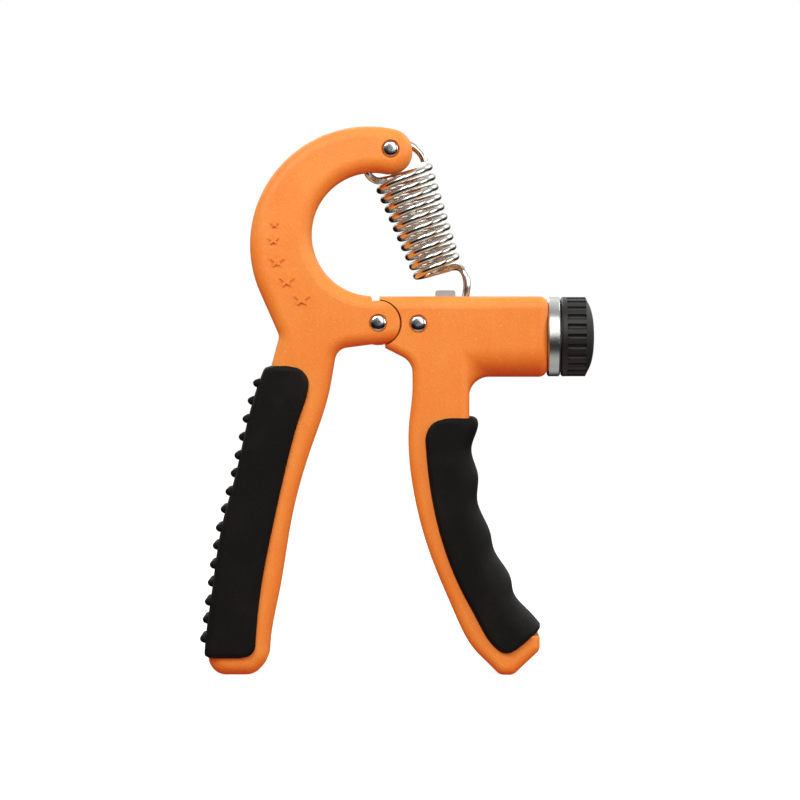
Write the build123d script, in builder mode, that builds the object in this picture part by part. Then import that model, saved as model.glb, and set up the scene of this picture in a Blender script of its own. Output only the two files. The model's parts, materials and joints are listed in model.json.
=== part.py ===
from build123d import *
import os
from math import acos, atan2, cos, degrees, hypot, pi, sin, sqrt

# Adjustable hand grip strengthener.
# A fixed handle with a C-shaped arm and a movable handle with a barrel turn on one
# pivot.  A tension spring hangs from the arm's tip and pulls on a nut in the barrel,
# and the knob's screw moves the nut to change the load.
# All front outlines are (x, z) from the pivot.  The handles stand on the XY plane.

# ---- Driving dimensions, millimetres ----
HANDLE_LENGTH = 96.9
LEFT_REACH = 47.7
BODY_WIDTH = 21.0
GRIP_WIDTH = 24.0
EDGE_RADIUS = 2.4
ARM_EDGE_RADIUS = 3.6

# C-shaped arm
ARM_OUTER = (-2.7, 21.6)
ARM_OUTER_RADIUS = 32.6
ARM_INNER = (-1.45, 24.5)
ARM_INNER_RADIUS = 17.1
ARM_TIP_RADIUS = 6.2
ARM_TOP_WIDTH = 13.0
TAPER_START = 3.0
TAPER_OVERRUN = 1.0
WAIST_GAP = 2.55
WAIST_ANGLE = 225.8
WAIST_FILLET = 3.0
SHOULDER = (-29.4, -11.6)
ARMPIT_SHIFT = 1.6
ARMPIT_FILLET = 4.0

# Hinge
EAR_RADIUS = 6.15
NOTCH_CLEAR = 1.5
EAR_GAP = 0.3
EAR_ANGLE = 106.0
EAR_EDGE_RADIUS = 0.8
SOLE_RUN = 4.0
TONGUE_WIDTH = 6.6
TONGUE_CLEARANCE = 0.4
TONGUE_RADIUS = 6.0
NOTCH_LEFT = -2.1
LIP_ANGLE = 87.0
SEAM_ANGLE = -73.0
HEEL_REACH = 9.2
HEEL_HEIGHT = 3.2
HEEL_SWEEP = 50.0
HEEL_CLEAR = 1.0
BUSH_WALL = 0.8
FIT = 0.05

# Handles: (x, share of the handle length below the pivot)
FIXED_INNER = [(-13.2, 0.172), (-18.8, 0.361), (-24.2, 0.566), (-27.5, 0.770), (-30.2, 0.955)]
FIXED_OUTER = [(-31.6, 0.139), (-35.4, 0.261), (-39.5, 0.446), (-42.7, 0.566),
               (-45.7, 0.763), (-47.7, 0.932)]
FIXED_UNDERSIDE = 7.2
FIXED_PALM = [(-19.2, 0.190), (-21.1, 0.255), (-24.4, 0.372), (-28.8, 0.572),
              (-32.2, 0.755), (-33.8, 0.930)]
FIXED_TOE = -34.0
TOE_FILLET = 5.5
HEEL_FILLET = 5.0
OUTER_INSET = 0.9
GRIP_SHOULDER_FILLET = 5.0
GRIP_TOE_FILLET = 2.0
GRIP_LIP = 0.4
GRIP_END_SHIFT = 1.2
MOVABLE_INNER = [(9.5, 0.170), (8.5, 0.290), (9.6, 0.470), (14.7, 0.668), (20.9, 0.821), (27.6, 0.940)]
MOVABLE_OUTER = [(26.0, 0.255), (26.4, 0.372), (28.2, 0.495), (31.6, 0.604), (36.4, 0.722), (45.4, 0.888)]
MOVABLE_OUTER_X = 25.1
MOVABLE_UNDERSIDE = [(1.9, -6.9), (9.4, -10.7)]
MOVABLE_PALM = [(13.0, 0.345), (14.5, 0.484), (17.4, 0.615), (22.4, 0.750), (27.1, 0.842), (32.4, 0.924)]
FINGERS = [(27.0, 0.268), (25.5, 0.356), (27.3, 0.436), (27.1, 0.506), (30.8, 0.604), (31.6, 0.644),
           (36.5, 0.735), (37.1, 0.769), (41.3, 0.824), (45.1, 0.868)]
MOVABLE_TOE = (33.5, 37.2)
MOVABLE_TOE_FILLET = 3.0
MOVABLE_HEEL_FILLET = 2.5
MOVABLE_LIP_FILLET = 3.0
UNDERSIDE_FILLET = 5.0
TIP_DROP = 4.0
FINGER_BACK = 4.4
FINGER_END = (3.4, -2.2)
FINGER_TOP_SLOPE = 1.0
FINGER_TOP_LIP = 0.8
FINGER_SHOULDER_FILLET = 4.5
FINGER_END_FILLET = 2.0
GRIP_TOP = 0.1218
FINGER_GRIP_TOP = 0.2642
RUBBER_BACK = 4.5
SEAT_STEP = 0.8
GRIP_PROUD = 1.6
FIXED_TIP_SHOWN = 4.7

# Barrel
BARREL_END = 46.7
BARREL_TOP = 7.3
BARREL_HEIGHT = 22.2
BARREL_CROWN = 3.5
BARREL_BELLY = 8.0
BELLY_CORNER = 5.5
NOSE_DROP = 2.0
CAVITY_WIDTH = 14.0
CAVITY_START = 13.0
CAVITY_TOP = 4.5
CAVITY_BOTTOM = -11.5
EAR_POCKET_START = 8.7
EAR_POCKET_HALF = 3.4
MOUTH_DEPTH = 3.0
MOUTH_D = 17.0
SLOT_START = 13.9
SLOT_END = 42.4
SLOT_WIDTH = 5.0
SLOT_FILLET = 0.6

# Load adjuster
SCREW_D = 6.0
SCREW_ROOT_D = 5.0
SCREW_LEAD = 2.0
THREAD_FLANK = 0.3
JOURNAL_D = 3.2
NUT_START = 15.8
NUT_LENGTH = 13.7
NUT_WIDTH = 11.0
NUT_BOTTOM = -9.6
NUT_TOP = 4.2
NUT_FILLET = 0.7
NUT_TRAVEL_IN = 1.3
NUT_TRAVEL_OUT = 12.5
LUG_LENGTH = 5.5
LUG_WIDTH = 4.2
LUG_TOP = 9.0
HOOK_SLOT_WIDTH = 2.8
HOOK_PIN_D = 2.0
HOOK_PIN = (25.85, 3.0)
SHEET = 1.2
FRAME_CLEARANCE = 0.1
FRAME_TOP = 3.0
FRAME_END = 42.6
CLIP_D = 10.0
CLIP_THICKNESS = 0.8
CLIP_MOUTH = 4.0
COLLAR_LENGTH = 3.5
COLLAR_D = 22.0
COLLAR_EDGE = 0.4
WASHER_D = 14.0
WASHER_THICKNESS = 0.5
KNOB_GAP = 0.3
KNOB_LENGTH = 9.2
KNOB_D = 22.0
KNOB_FLANK = 6.7
KNOB_CHAMFER = 1.5
KNOB_FLUTES = 24
KNOB_FLUTE_D = 1.7
KNOB_FLUTE_START = 1.6
KNOB_FLUTE_LENGTH = 5.2
KNOB_SOCKET = 6.0

# Rivets
RIVET_D = 3.4
RIVET_BORE = 1.7
RIVET_BORE_DEPTH = 6.0
RIVET_HEAD_D = 4.5
RIVET_DOME = 1.0
RIVET_RECESS_D = 5.1
RIVET_RECESS = 0.5
ANCHOR = (11.0, -0.2)
SPRING_PIN = (3.4, 47.9)
TIP_SEAT = 6.6

# Spring
WIRE_D = 2.0
COIL_TOP = (7.2, 39.9)
COIL_BOTTOM = (16.0, 15.7)
COIL_TOP_D = 17.2
COIL_BOTTOM_D = 14.3
COILS = 10
LOOP_RISE = [(-2.8, 41.2), (-1.4, 48.2)]
LOOP_SHOULDER = (11.3, 47.3)
LOOP_TIP = (12.75, 44.6)
COIL_START = 30.0
HEAD_TURN = 0.75
TAIL_TURN = 0.35
TAIL = [(23.3, 14.7, 1.2), (24.5, 11.5, 0.0), (24.2, 7.5, 0.0)]
LOOP_SLOT = 2.9
LOOP_SLOT_LENGTH = 17.0
LOOP_SLOT_DROP = 4.0
LOOP_SLOT_ROOM = 0.7

# Raised stars on the arm: centre x, centre z, tip circle
STARS = [(-21.0, 6.7, 4.5), (-25.1, 11.7, 4.2), (-27.8, 17.0, 3.9), (-28.8, 22.8, 3.1), (-28.5, 27.1, 2.3)]
STAR_RELIEF = 0.5
NOTCH_RATIO = 0.42

# ---- Places worked out from them ----
AXIS_Z = BARREL_TOP - BARREL_HEIGHT / 2
BARREL_BASE = BARREL_TOP - BARREL_HEIGHT
COLLAR_END = BARREL_END + COLLAR_LENGTH
KNOB_START = COLLAR_END + KNOB_GAP
KNOB_END = KNOB_START + KNOB_LENGTH
PIVOT_X = (LEFT_REACH - KNOB_END) / 2
TONGUE_SLOT = TONGUE_WIDTH + 2 * TONGUE_CLEARANCE
FLOOR = -HANDLE_LENGTH
GRIP_TOP_Z = -GRIP_TOP * HANDLE_LENGTH
FINGER_TOP_Z = -FINGER_GRIP_TOP * HANDLE_LENGTH
GRIP_END_Z = FLOOR + FIXED_TIP_SHOWN


def front(depth=0.0):
    """Plane through the pivot seen from the front, moved towards the viewer by depth."""
    return Plane(origin=(PIVOT_X, -depth, HANDLE_LENGTH), x_dir=(1, 0, 0), z_dir=(0, -1, 0))


def across(x):
    """Plane square to the barrel at a distance x from the pivot."""
    return Plane(origin=(PIVOT_X + x, 0, HANDLE_LENGTH + AXIS_Z), x_dir=(0, 1, 0), z_dir=(1, 0, 0))


def lengthways():
    """Front-view plane through the barrel's axis, so the second coordinate is a radius."""
    return Plane(origin=(PIVOT_X, 0, HANDLE_LENGTH + AXIS_Z), x_dir=(1, 0, 0), z_dir=(0, -1, 0))


def level(z):
    """Level plane at a height z from the pivot."""
    return Plane(origin=(PIVOT_X, 0, HANDLE_LENGTH + z))


def axis_at(spot):
    """Axis through both faces at a front-view spot."""
    return Axis((PIVOT_X + spot[0], 0, HANDLE_LENGTH + spot[1]), (0, 1, 0))


def lengthwise(stations, shift=0.0):
    """Turn (x, share of length) stations into front-view points."""
    return [(x + shift, -share * HANDLE_LENGTH) for x, share in stations]


def polar(radius, angle):
    """Front-view point at a radius and an angle in degrees from the pivot."""
    return (radius * cos(angle * pi / 180), radius * sin(angle * pi / 180))


def taper_at(z):
    """How far each face of the arm stands in from the full width at a height z."""
    rise = max(z - TAPER_START, 0)
    top = ARM_OUTER[1] + ARM_OUTER_RADIUS + TAPER_OVERRUN - TAPER_START
    inset = (BODY_WIDTH - ARM_TOP_WIDTH) / 2
    radius = (top**2 + inset**2) / (2 * inset)
    return radius - sqrt(radius**2 - rise**2)


def star(size):
    """Points of a five-pointed star, first point up."""
    tips = [polar(size, 90 + 72 * i) for i in range(5)]
    notches = [polar(size * NOTCH_RATIO, 126 + 72 * i) for i in range(5)]
    return [point for pair in zip(tips, notches) for point in pair]


def corner(sketch, spot):
    """The sketch vertex nearest to a front-view spot."""
    return sketch.vertices().sort_by_distance(Vector(spot))[0]


def save(piece, name):
    """Label a finished piece and write it."""
    piece.part.label = name
    export_step(piece.part, f"parts/{name}.step")


def rim_edges(piece, keep_clear):
    """Edges around the front and back faces, clear of the hinge and of the face seams."""
    rims = piece.edges().filter_by(lambda e: abs(e.center().Y) > BODY_WIDTH / 4)
    rims = rims.filter_by(lambda e: abs((e @ 0).Y - (e @ 1).Y) < BODY_WIDTH / 4)
    rims = rims.filter_by(lambda e: hypot((e @ 0.5).X - PIVOT_X, (e @ 0.5).Z - HANDLE_LENGTH) > keep_clear)
    return rims.filter_by(lambda e: not (abs((e % 0.5).X) > 0.999 and e.length > ARM_INNER_RADIUS))


os.makedirs("parts", exist_ok=True)

# ---------------------------------------------------------------- fixed handle
arm_out = Vector(*ARM_OUTER)
arm_in = Vector(*ARM_INNER)
waist_reach = ARM_OUTER_RADIUS + WAIST_GAP
waist = arm_out + Vector(*polar(waist_reach, WAIST_ANGLE))
waist_angle = WAIST_ANGLE - degrees(acos(ARM_OUTER_RADIUS / waist_reach))

# the rounded tip touches the outer and the inner circle of the arm
tip_out = ARM_OUTER_RADIUS - ARM_TIP_RADIUS
tip_in = ARM_INNER_RADIUS + ARM_TIP_RADIUS
centre_run = arm_in - arm_out
along = (tip_out**2 - tip_in**2 + centre_run.length**2) / (2 * centre_run.length)
aside = sqrt(tip_out**2 - along**2)
towards = centre_run.normalized()
arm_tip = arm_out + towards * along + Vector(-towards.Y, towards.X) * aside
crown_angle = degrees(atan2(arm_tip.Y - arm_out.Y, arm_tip.X - arm_out.X))
mouth_angle = degrees(atan2(arm_tip.Y - arm_in.Y, arm_tip.X - arm_in.X))

notch_rise = sqrt(ARM_INNER_RADIUS**2 - (NOTCH_LEFT - ARM_INNER[0]) ** 2)
notch_top = (NOTCH_LEFT, ARM_INNER[1] - notch_rise)
notch_angle = degrees(atan2(-notch_rise, NOTCH_LEFT - ARM_INNER[0])) % 360
fixed_inner = lengthwise(FIXED_INNER)
fixed_outer = lengthwise(FIXED_OUTER, OUTER_INSET)
heel = (fixed_outer[-1][0], FLOOR)
armpit = (FIXED_INNER[0][0] + ARMPIT_SHIFT, -FIXED_UNDERSIDE)

# the plane through the hinge's axis where the ears' round outline begins, and the underside's run up to it
ear_x, ear_z = polar(1, -EAR_ANGLE)
ear_plane = Plane(origin=(PIVOT_X, 0, HANDLE_LENGTH), x_dir=(ear_x, 0, ear_z), z_dir=(-ear_z, 0, ear_x))
ear_start = Vector(ear_x, ear_z) * EAR_RADIUS
sole_way = (ear_start - Vector(*armpit)).normalized()
sole_begin = ear_start - sole_way * SOLE_RUN
sole_start = (PIVOT_X + sole_begin.X, 0, HANDLE_LENGTH + sole_begin.Y)

taper_top = ARM_OUTER[1] + ARM_OUTER_RADIUS + TAPER_OVERRUN
flank_foot = FLOOR - TAPER_OVERRUN

with BuildPart() as fixed_blank:
    with BuildSketch(front()) as fixed_face:
        with BuildLine():
            tip = CenterArc(arm_tip, ARM_TIP_RADIUS, mouth_angle - 180, 180 + crown_angle - mouth_angle)
            crown = CenterArc(ARM_OUTER, ARM_OUTER_RADIUS, crown_angle, waist_angle - crown_angle)
            Polyline(crown @ 1, waist, SHOULDER)
            back = Spline(SHOULDER, fixed_outer[1:], tangents=[Vector(*SHOULDER) - waist, (0, -1)])
            foot = Polyline(back @ 1, heel, (FIXED_TOE, FLOOR), fixed_inner[-1])
            strip = Spline(fixed_inner[::-1], tangents=[(0, 1), Vector(*armpit) - Vector(*fixed_inner[0])])
            Polyline(strip @ 1, armpit, polar(EAR_RADIUS, -EAR_ANGLE))
            ear = CenterArc((0, 0), EAR_RADIUS, -EAR_ANGLE, 2 * EAR_ANGLE)
            Line(ear @ 1, notch_top)
            opening = CenterArc(ARM_INNER, ARM_INNER_RADIUS, notch_angle, mouth_angle - notch_angle)
        make_face()
        fillet(corner(fixed_face, waist), WAIST_FILLET)
        fillet(corner(fixed_face, armpit), ARMPIT_FILLET)
        fillet(corner(fixed_face, fixed_inner[-1]), TOE_FILLET)
        fillet(corner(fixed_face, heel), HEEL_FILLET)
        fillet(corner(fixed_face, (FIXED_TOE, FLOOR)), TOE_FILLET)
    extrude(amount=BODY_WIDTH / 2, both=True)
    with BuildSketch(Plane(origin=(PIVOT_X, 0, HANDLE_LENGTH), x_dir=(0, 1, 0), z_dir=(1, 0, 0))):
        with BuildLine():
            flank = Line((BODY_WIDTH / 2, flank_foot), (BODY_WIDTH / 2, TAPER_START))
            taper = TangentArc(flank @ 1, (ARM_TOP_WIDTH / 2, taper_top), tangent=flank % 1)
            Line(taper @ 1, (0, taper_top))
            Line((0, flank_foot), flank @ 0)
            mirror(about=Plane.YZ)
        make_face()
    extrude(amount=LEFT_REACH + ARM_OUTER_RADIUS, both=True, mode=Mode.INTERSECT)
    fillet(rim_edges(fixed_blank, EAR_RADIUS + NOTCH_CLEAR), ARM_EDGE_RADIUS)
    # the underside's rounding carried on below the ears, up to the seam
    with BuildSketch(Plane(origin=sole_start, x_dir=(0, 1, 0), z_dir=(sole_way.X, 0, sole_way.Y))):
        with BuildLine():
            sole_centre = (BODY_WIDTH / 2 - ARM_EDGE_RADIUS, ARM_EDGE_RADIUS - FIT)
            rounding = CenterArc(sole_centre, ARM_EDGE_RADIUS, -90, 90)
            Polyline(rounding @ 1, (BODY_WIDTH, sole_centre[1]), (BODY_WIDTH, -BODY_WIDTH),
                     (sole_centre[0], -BODY_WIDTH), rounding @ 0)
        make_face()
        mirror(about=Plane.YZ)
    extrude(amount=SOLE_RUN + 2 * EAR_RADIUS, mode=Mode.SUBTRACT)
    # small rounding along the rest of the ears' rims
    with BuildSketch(ear_plane):
        with BuildLine():
            turn_centre = (EAR_RADIUS - EAR_EDGE_RADIUS, BODY_WIDTH / 2 - EAR_EDGE_RADIUS)
            turn = CenterArc(turn_centre, EAR_EDGE_RADIUS, 0, 90)
            Polyline(turn @ 1, (turn_centre[0], BODY_WIDTH), (EAR_RADIUS + EAR_GAP / 2, BODY_WIDTH),
                     (EAR_RADIUS + EAR_GAP / 2, turn_centre[1]), turn @ 0)
        make_face()
        mirror(about=Plane.XZ)
    hinge_axis = Axis((PIVOT_X, 0, HANDLE_LENGTH), (0, -1, 0))
    revolve(axis=hinge_axis, revolution_arc=2 * EAR_ANGLE, mode=Mode.SUBTRACT)

# the grip's outline, which also bounds the seat cut for it in the handle
grip_back = lengthwise(FIXED_OUTER)
grip_palm = lengthwise(FIXED_PALM)
seat_back = lengthwise(FIXED_OUTER, RUBBER_BACK)

with BuildPart() as fixed_seat:
    with BuildSketch(front()):
        with BuildLine():
            seat = Spline(seat_back)
            Polyline(seat @ 1, (seat_back[-1][0] - 2 * RUBBER_BACK, seat_back[-1][1]),
                     (seat_back[-1][0] - 2 * RUBBER_BACK, GRIP_TOP_Z - SEAT_STEP), seat @ 0)
        make_face()
    extrude(amount=BODY_WIDTH, both=True)

with BuildPart() as fixed_handle:
    add(fixed_blank.part)
    add(fixed_seat.part, mode=Mode.SUBTRACT)
    # gap between the two ears for the tongue and its stop heel
    with BuildSketch(front()):
        Circle(EAR_RADIUS + EAR_GAP / 2)
        with BuildLine():
            top = Line((0, 0), polar(HEEL_REACH + EAR_GAP, 180 - HEEL_SWEEP))
            swing = CenterArc((0, 0), HEEL_REACH + EAR_GAP, 180 - HEEL_SWEEP, HEEL_SWEEP)
            Polyline(swing @ 1, (-HEEL_REACH - EAR_GAP, -HEEL_HEIGHT / 2 - EAR_GAP / 2),
                     (0, -HEEL_HEIGHT / 2 - EAR_GAP / 2), (0, 0))
        make_face()
    extrude(amount=TONGUE_SLOT / 2, both=True, mode=Mode.SUBTRACT)
    # slot in the tip for the spring's loop
    with BuildSketch(front()):
        with Locations((SPRING_PIN[0], SPRING_PIN[1] - LOOP_SLOT_DROP)):
            Rectangle(LOOP_SLOT_LENGTH, 2 * (WIRE_D + RIVET_D / 2 + LOOP_SLOT_ROOM + LOOP_SLOT_DROP))
    extrude(amount=LOOP_SLOT / 2, both=True, mode=Mode.SUBTRACT)
    # rivet holes and their recesses
    with BuildSketch(front()):
        Circle(RIVET_D / 2)
        with Locations(SPRING_PIN):
            Circle(RIVET_D / 2)
    extrude(amount=BODY_WIDTH, both=True, mode=Mode.SUBTRACT)
    for side in (-1, 1):
        with BuildSketch(front(side * (BODY_WIDTH / 2 - RIVET_RECESS))):
            Circle(RIVET_RECESS_D / 2)
        extrude(amount=side * BODY_WIDTH, mode=Mode.SUBTRACT)
        with BuildSketch(front(side * TIP_SEAT)):
            with Locations(SPRING_PIN):
                Circle(RIVET_RECESS_D / 2)
        extrude(amount=side * BODY_WIDTH, mode=Mode.SUBTRACT)
    # raised stars
    for x, z, size in STARS:
        face_y = BODY_WIDTH / 2 - taper_at(z)
        with BuildSketch(front()):
            with Locations((x, z)):
                Polygon(*star(size / 2), align=None)
        extrude(amount=face_y + STAR_RELIEF, both=True)
save(fixed_handle, "fixed_handle")

with BuildPart() as fixed_grip:
    with BuildSketch(front()) as grip_face:
        with BuildLine():
            top_edge = Line((grip_palm[0][0] - GRIP_LIP, GRIP_TOP_Z), (SHOULDER[0] - GRIP_PROUD, GRIP_TOP_Z))
            Line(top_edge @ 1, grip_back[0])
            edge = Spline(grip_back)
            grip_end = (grip_back[-1][0] + GRIP_END_SHIFT, GRIP_END_Z)
            grip_toe = (grip_palm[-1][0], GRIP_END_Z)
            Polyline(edge @ 1, grip_end, grip_toe, grip_palm[-1])
            palm = Spline(grip_palm[::-1], tangents=[(0, 1), (0, 1)])
            Line(palm @ 1, top_edge @ 0)
        make_face()
        fillet(corner(grip_face, top_edge @ 0), GRIP_SHOULDER_FILLET)
        fillet(corner(grip_face, grip_toe), GRIP_TOE_FILLET)
    extrude(amount=GRIP_WIDTH / 2, both=True)
    add(fixed_handle.part, mode=Mode.SUBTRACT)
save(fixed_grip, "fixed_grip")

# ---------------------------------------------------------------- movable handle
ring = EAR_RADIUS + EAR_GAP
movable_inner = lengthwise(MOVABLE_INNER)
movable_outer = lengthwise(MOVABLE_OUTER, -OUTER_INSET)
finger_seat = lengthwise(MOVABLE_OUTER, -FINGER_BACK)
movable_foot = [(x, FLOOR) for x in MOVABLE_TOE]
movable_heel = (MOVABLE_OUTER[-1][0] - OUTER_INSET, movable_outer[-1][1] - TIP_DROP)

with BuildPart() as movable_plate:
    with BuildSketch(front()) as movable_face:
        with BuildLine():
            Polyline(polar(ring, SEAM_ANGLE), (0, 0), (ring, 0), (MOVABLE_OUTER_X, 0), movable_outer[0])
            back = Spline(movable_outer, tangents=[(0, -1), (0.8, -1)])
            Polyline(back @ 1, movable_heel, movable_foot[1], movable_foot[0], movable_inner[-1])
            toe_run = Vector(*movable_inner[-1]) - Vector(*movable_foot[0])
            pit_run = Vector(*MOVABLE_UNDERSIDE[1]) - Vector(*movable_inner[0])
            strip = Spline(movable_inner[::-1], tangents=[toe_run, pit_run])
            Polyline(strip @ 1, MOVABLE_UNDERSIDE[::-1], polar(ring, SEAM_ANGLE))
        make_face()
        fillet(corner(movable_face, movable_outer[-1]), MOVABLE_LIP_FILLET)
        fillet(corner(movable_face, movable_heel), MOVABLE_HEEL_FILLET)
        fillet(corner(movable_face, movable_foot[1]), MOVABLE_TOE_FILLET)
        fillet(corner(movable_face, movable_foot[0]), MOVABLE_TOE_FILLET)
        fillet(corner(movable_face, MOVABLE_UNDERSIDE[1]), UNDERSIDE_FILLET)
    extrude(amount=BODY_WIDTH / 2, both=True)
    lower = rim_edges(movable_plate, ring + HEEL_CLEAR)
    fillet(lower.filter_by(lambda e: (e @ 0.5).Z < HANDLE_LENGTH - HEEL_CLEAR), EDGE_RADIUS)

belly_start = MOVABLE_OUTER_X - EDGE_RADIUS

with BuildPart() as movable_blank:
    lip_x = polar(ring, LIP_ANGLE)[0]
    with BuildSketch(across(lip_x)) as barrel_section:
        Rectangle(BODY_WIDTH, BARREL_HEIGHT)
        fillet(barrel_section.vertices().group_by(Axis.Y)[-1], BARREL_CROWN)
        fillet(barrel_section.vertices().group_by(Axis.Y)[0], BARREL_BELLY)
    extrude(amount=BARREL_END - lip_x)
    end_rim = movable_blank.faces().sort_by(Axis.X)[-1].edges()
    fillet(end_rim, EDGE_RADIUS)
    # the barrel's belly stops at the plate, and the plate carries it from there to the hinge
    with BuildSketch(front()):
        with BuildLine():
            Polyline((lip_x - EDGE_RADIUS, -NOSE_DROP), (belly_start, -NOSE_DROP),
                     (belly_start, -BARREL_HEIGHT), (lip_x - EDGE_RADIUS, -BARREL_HEIGHT), close=True)
        make_face()
    extrude(amount=BODY_WIDTH, both=True, mode=Mode.SUBTRACT)
    add(movable_plate.part)
    # soft corner between the barrel's belly and the plate's outer edge
    belly_line = movable_blank.edges().filter_by(lambda e: (e @ 0.5).Z > HANDLE_LENGTH + BARREL_BASE - FIT)
    belly_line = belly_line.filter_by(lambda e: abs((e @ 0).X - PIVOT_X - MOVABLE_OUTER_X) < FIT)
    belly_line = belly_line.filter_by(lambda e: abs((e @ 1).X - PIVOT_X - MOVABLE_OUTER_X) < FIT)
    fillet(belly_line, BELLY_CORNER)

with BuildPart() as movable_seat:
    with BuildSketch(front()):
        with BuildLine():
            seat = Spline((finger_seat[0][0], FINGER_TOP_Z - SEAT_STEP), finger_seat[1:])
            Polyline(seat @ 1, movable_outer[-1], (MOVABLE_TOE[1] + BODY_WIDTH, movable_outer[-1][1]),
                     (MOVABLE_TOE[1] + BODY_WIDTH, FINGER_TOP_Z - SEAT_STEP), seat @ 0)
        make_face()
    extrude(amount=BODY_WIDTH, both=True)

with BuildPart() as movable_handle:
    add(movable_blank.part)
    add(movable_seat.part, mode=Mode.SUBTRACT)
    # room for the two ears, leaving the tongue between them
    for side in (-1, 1):
        with BuildSketch(front(side * TONGUE_WIDTH / 2)):
            Circle(ring)
        extrude(amount=side * BODY_WIDTH, mode=Mode.SUBTRACT)
    with BuildSketch(front()):
        Circle(TONGUE_RADIUS)
        with Locations((-HEEL_REACH / 2, 0)):
            Rectangle(HEEL_REACH, HEEL_HEIGHT)
    extrude(amount=TONGUE_WIDTH / 2, both=True)
    with BuildSketch(front()):
        Circle(RIVET_D / 2 + FIT + BUSH_WALL)
        with Locations(ANCHOR):
            Circle(RIVET_D / 2)
    extrude(amount=BODY_WIDTH, both=True, mode=Mode.SUBTRACT)
    # barrel cavity, mouth and the slot in its top
    with BuildSketch(front()):
        with BuildLine():
            Polyline((EAR_POCKET_START, -EAR_POCKET_HALF), (CAVITY_START, -EAR_POCKET_HALF),
                     (CAVITY_START, CAVITY_BOTTOM), (BARREL_END - MOUTH_DEPTH, CAVITY_BOTTOM),
                     (BARREL_END - MOUTH_DEPTH, CAVITY_TOP), (EAR_POCKET_START, CAVITY_TOP), close=True)
        make_face()
    extrude(amount=CAVITY_WIDTH / 2, both=True, mode=Mode.SUBTRACT)
    with BuildSketch(across(BARREL_END)):
        Circle(MOUTH_D / 2)
    extrude(amount=-MOUTH_DEPTH, mode=Mode.SUBTRACT)
    with BuildSketch(level(CAVITY_TOP)):
        with Locations(((SLOT_START + SLOT_END) / 2, 0)):
            RectangleRounded(SLOT_END - SLOT_START, SLOT_WIDTH, SLOT_FILLET)
    extrude(amount=BARREL_TOP, mode=Mode.SUBTRACT)
    for side in (-1, 1):
        with BuildSketch(front(side * (BODY_WIDTH / 2 - RIVET_RECESS))):
            with Locations(ANCHOR):
                Circle(RIVET_RECESS_D / 2)
        extrude(amount=side * BODY_WIDTH, mode=Mode.SUBTRACT)
save(movable_handle, "movable_handle")

with BuildPart() as movable_grip:
    with BuildSketch(front()) as finger_face:
        with BuildLine():
            fingers = lengthwise(FINGERS)
            finger_palm = lengthwise(MOVABLE_PALM)
            top_edge = Line((MOVABLE_PALM[0][0], FINGER_TOP_Z - FINGER_TOP_SLOPE),
                            (fingers[0][0] - FINGER_TOP_LIP, FINGER_TOP_Z))
            Line(top_edge @ 1, fingers[0])
            edge = Spline(fingers)
            end = Vector(*finger_palm[-1]) + Vector(*FINGER_END)
            Polyline(edge @ 1, end, finger_palm[-1])
            palm = Spline(finger_palm[::-1], tangents=[(-0.5, 1), (0, 1)])
            Line(palm @ 1, top_edge @ 0)
        make_face()
        fillet(corner(finger_face, end), FINGER_END_FILLET)
        fillet(corner(finger_face, top_edge @ 0), FINGER_SHOULDER_FILLET)
    extrude(amount=GRIP_WIDTH / 2, both=True)
    add(movable_handle.part, mode=Mode.SUBTRACT)
save(movable_grip, "movable_grip")

# ---------------------------------------------------------------- hinge pieces
with BuildPart() as hinge_bushing:
    with BuildSketch(front()):
        Circle(RIVET_D / 2 + FIT + BUSH_WALL)
        Circle(RIVET_D / 2 + FIT, mode=Mode.SUBTRACT)
    extrude(amount=TONGUE_WIDTH / 2, both=True)
save(hinge_bushing, "hinge_bushing")

with BuildPart() as hinge_washers:
    for side in (-1, 1):
        with BuildSketch(front(side * (TONGUE_WIDTH / 2 + FIT / 2))):
            Circle(TONGUE_RADIUS - 0.5)
            Circle(RIVET_D / 2 + FIT, mode=Mode.SUBTRACT)
        extrude(amount=side * (TONGUE_CLEARANCE - FIT))
save(hinge_washers, "hinge_washers")


def half_profile(spot):
    """Plane through a rivet's axis: first coordinate outwards, second from front to back."""
    return Plane(origin=(PIVOT_X + spot[0], 0, HANDLE_LENGTH + spot[1]))


def rivet(name, spot, seat):
    """Front part of a two-piece rivet: a domed head on a hollow shank."""
    bore_end = seat - RIVET_BORE_DEPTH
    with BuildPart() as piece:
        with BuildSketch(half_profile(spot)):
            with BuildLine():
                Polyline((0, -seat - RIVET_DOME), (0, bore_end), (RIVET_BORE / 2, bore_end),
                         (RIVET_BORE / 2, seat), (RIVET_D / 2, seat), (RIVET_D / 2, -seat),
                         (RIVET_HEAD_D / 2, -seat))
                Spline((RIVET_HEAD_D / 2, -seat), (0, -seat - RIVET_DOME), tangents=[(0, -1), (-1, 0)])
            make_face()
        revolve(axis=axis_at(spot))
    save(piece, name)
    return piece


def rivet_cap(name, spot, seat):
    """Back part of a two-piece rivet: a domed head on a pin that fills the hollow shank."""
    pin_end = seat - RIVET_BORE_DEPTH + FIT
    with BuildPart() as piece:
        with BuildSketch(half_profile(spot)):
            with BuildLine():
                Polyline((0, seat + RIVET_DOME), (0, pin_end), (RIVET_BORE / 2, pin_end),
                         (RIVET_BORE / 2, seat), (RIVET_HEAD_D / 2, seat))
                Spline((RIVET_HEAD_D / 2, seat), (0, seat + RIVET_DOME), tangents=[(0, 1), (-1, 0)])
            make_face()
        revolve(axis=axis_at(spot))
    save(piece, name)
    return piece


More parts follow.
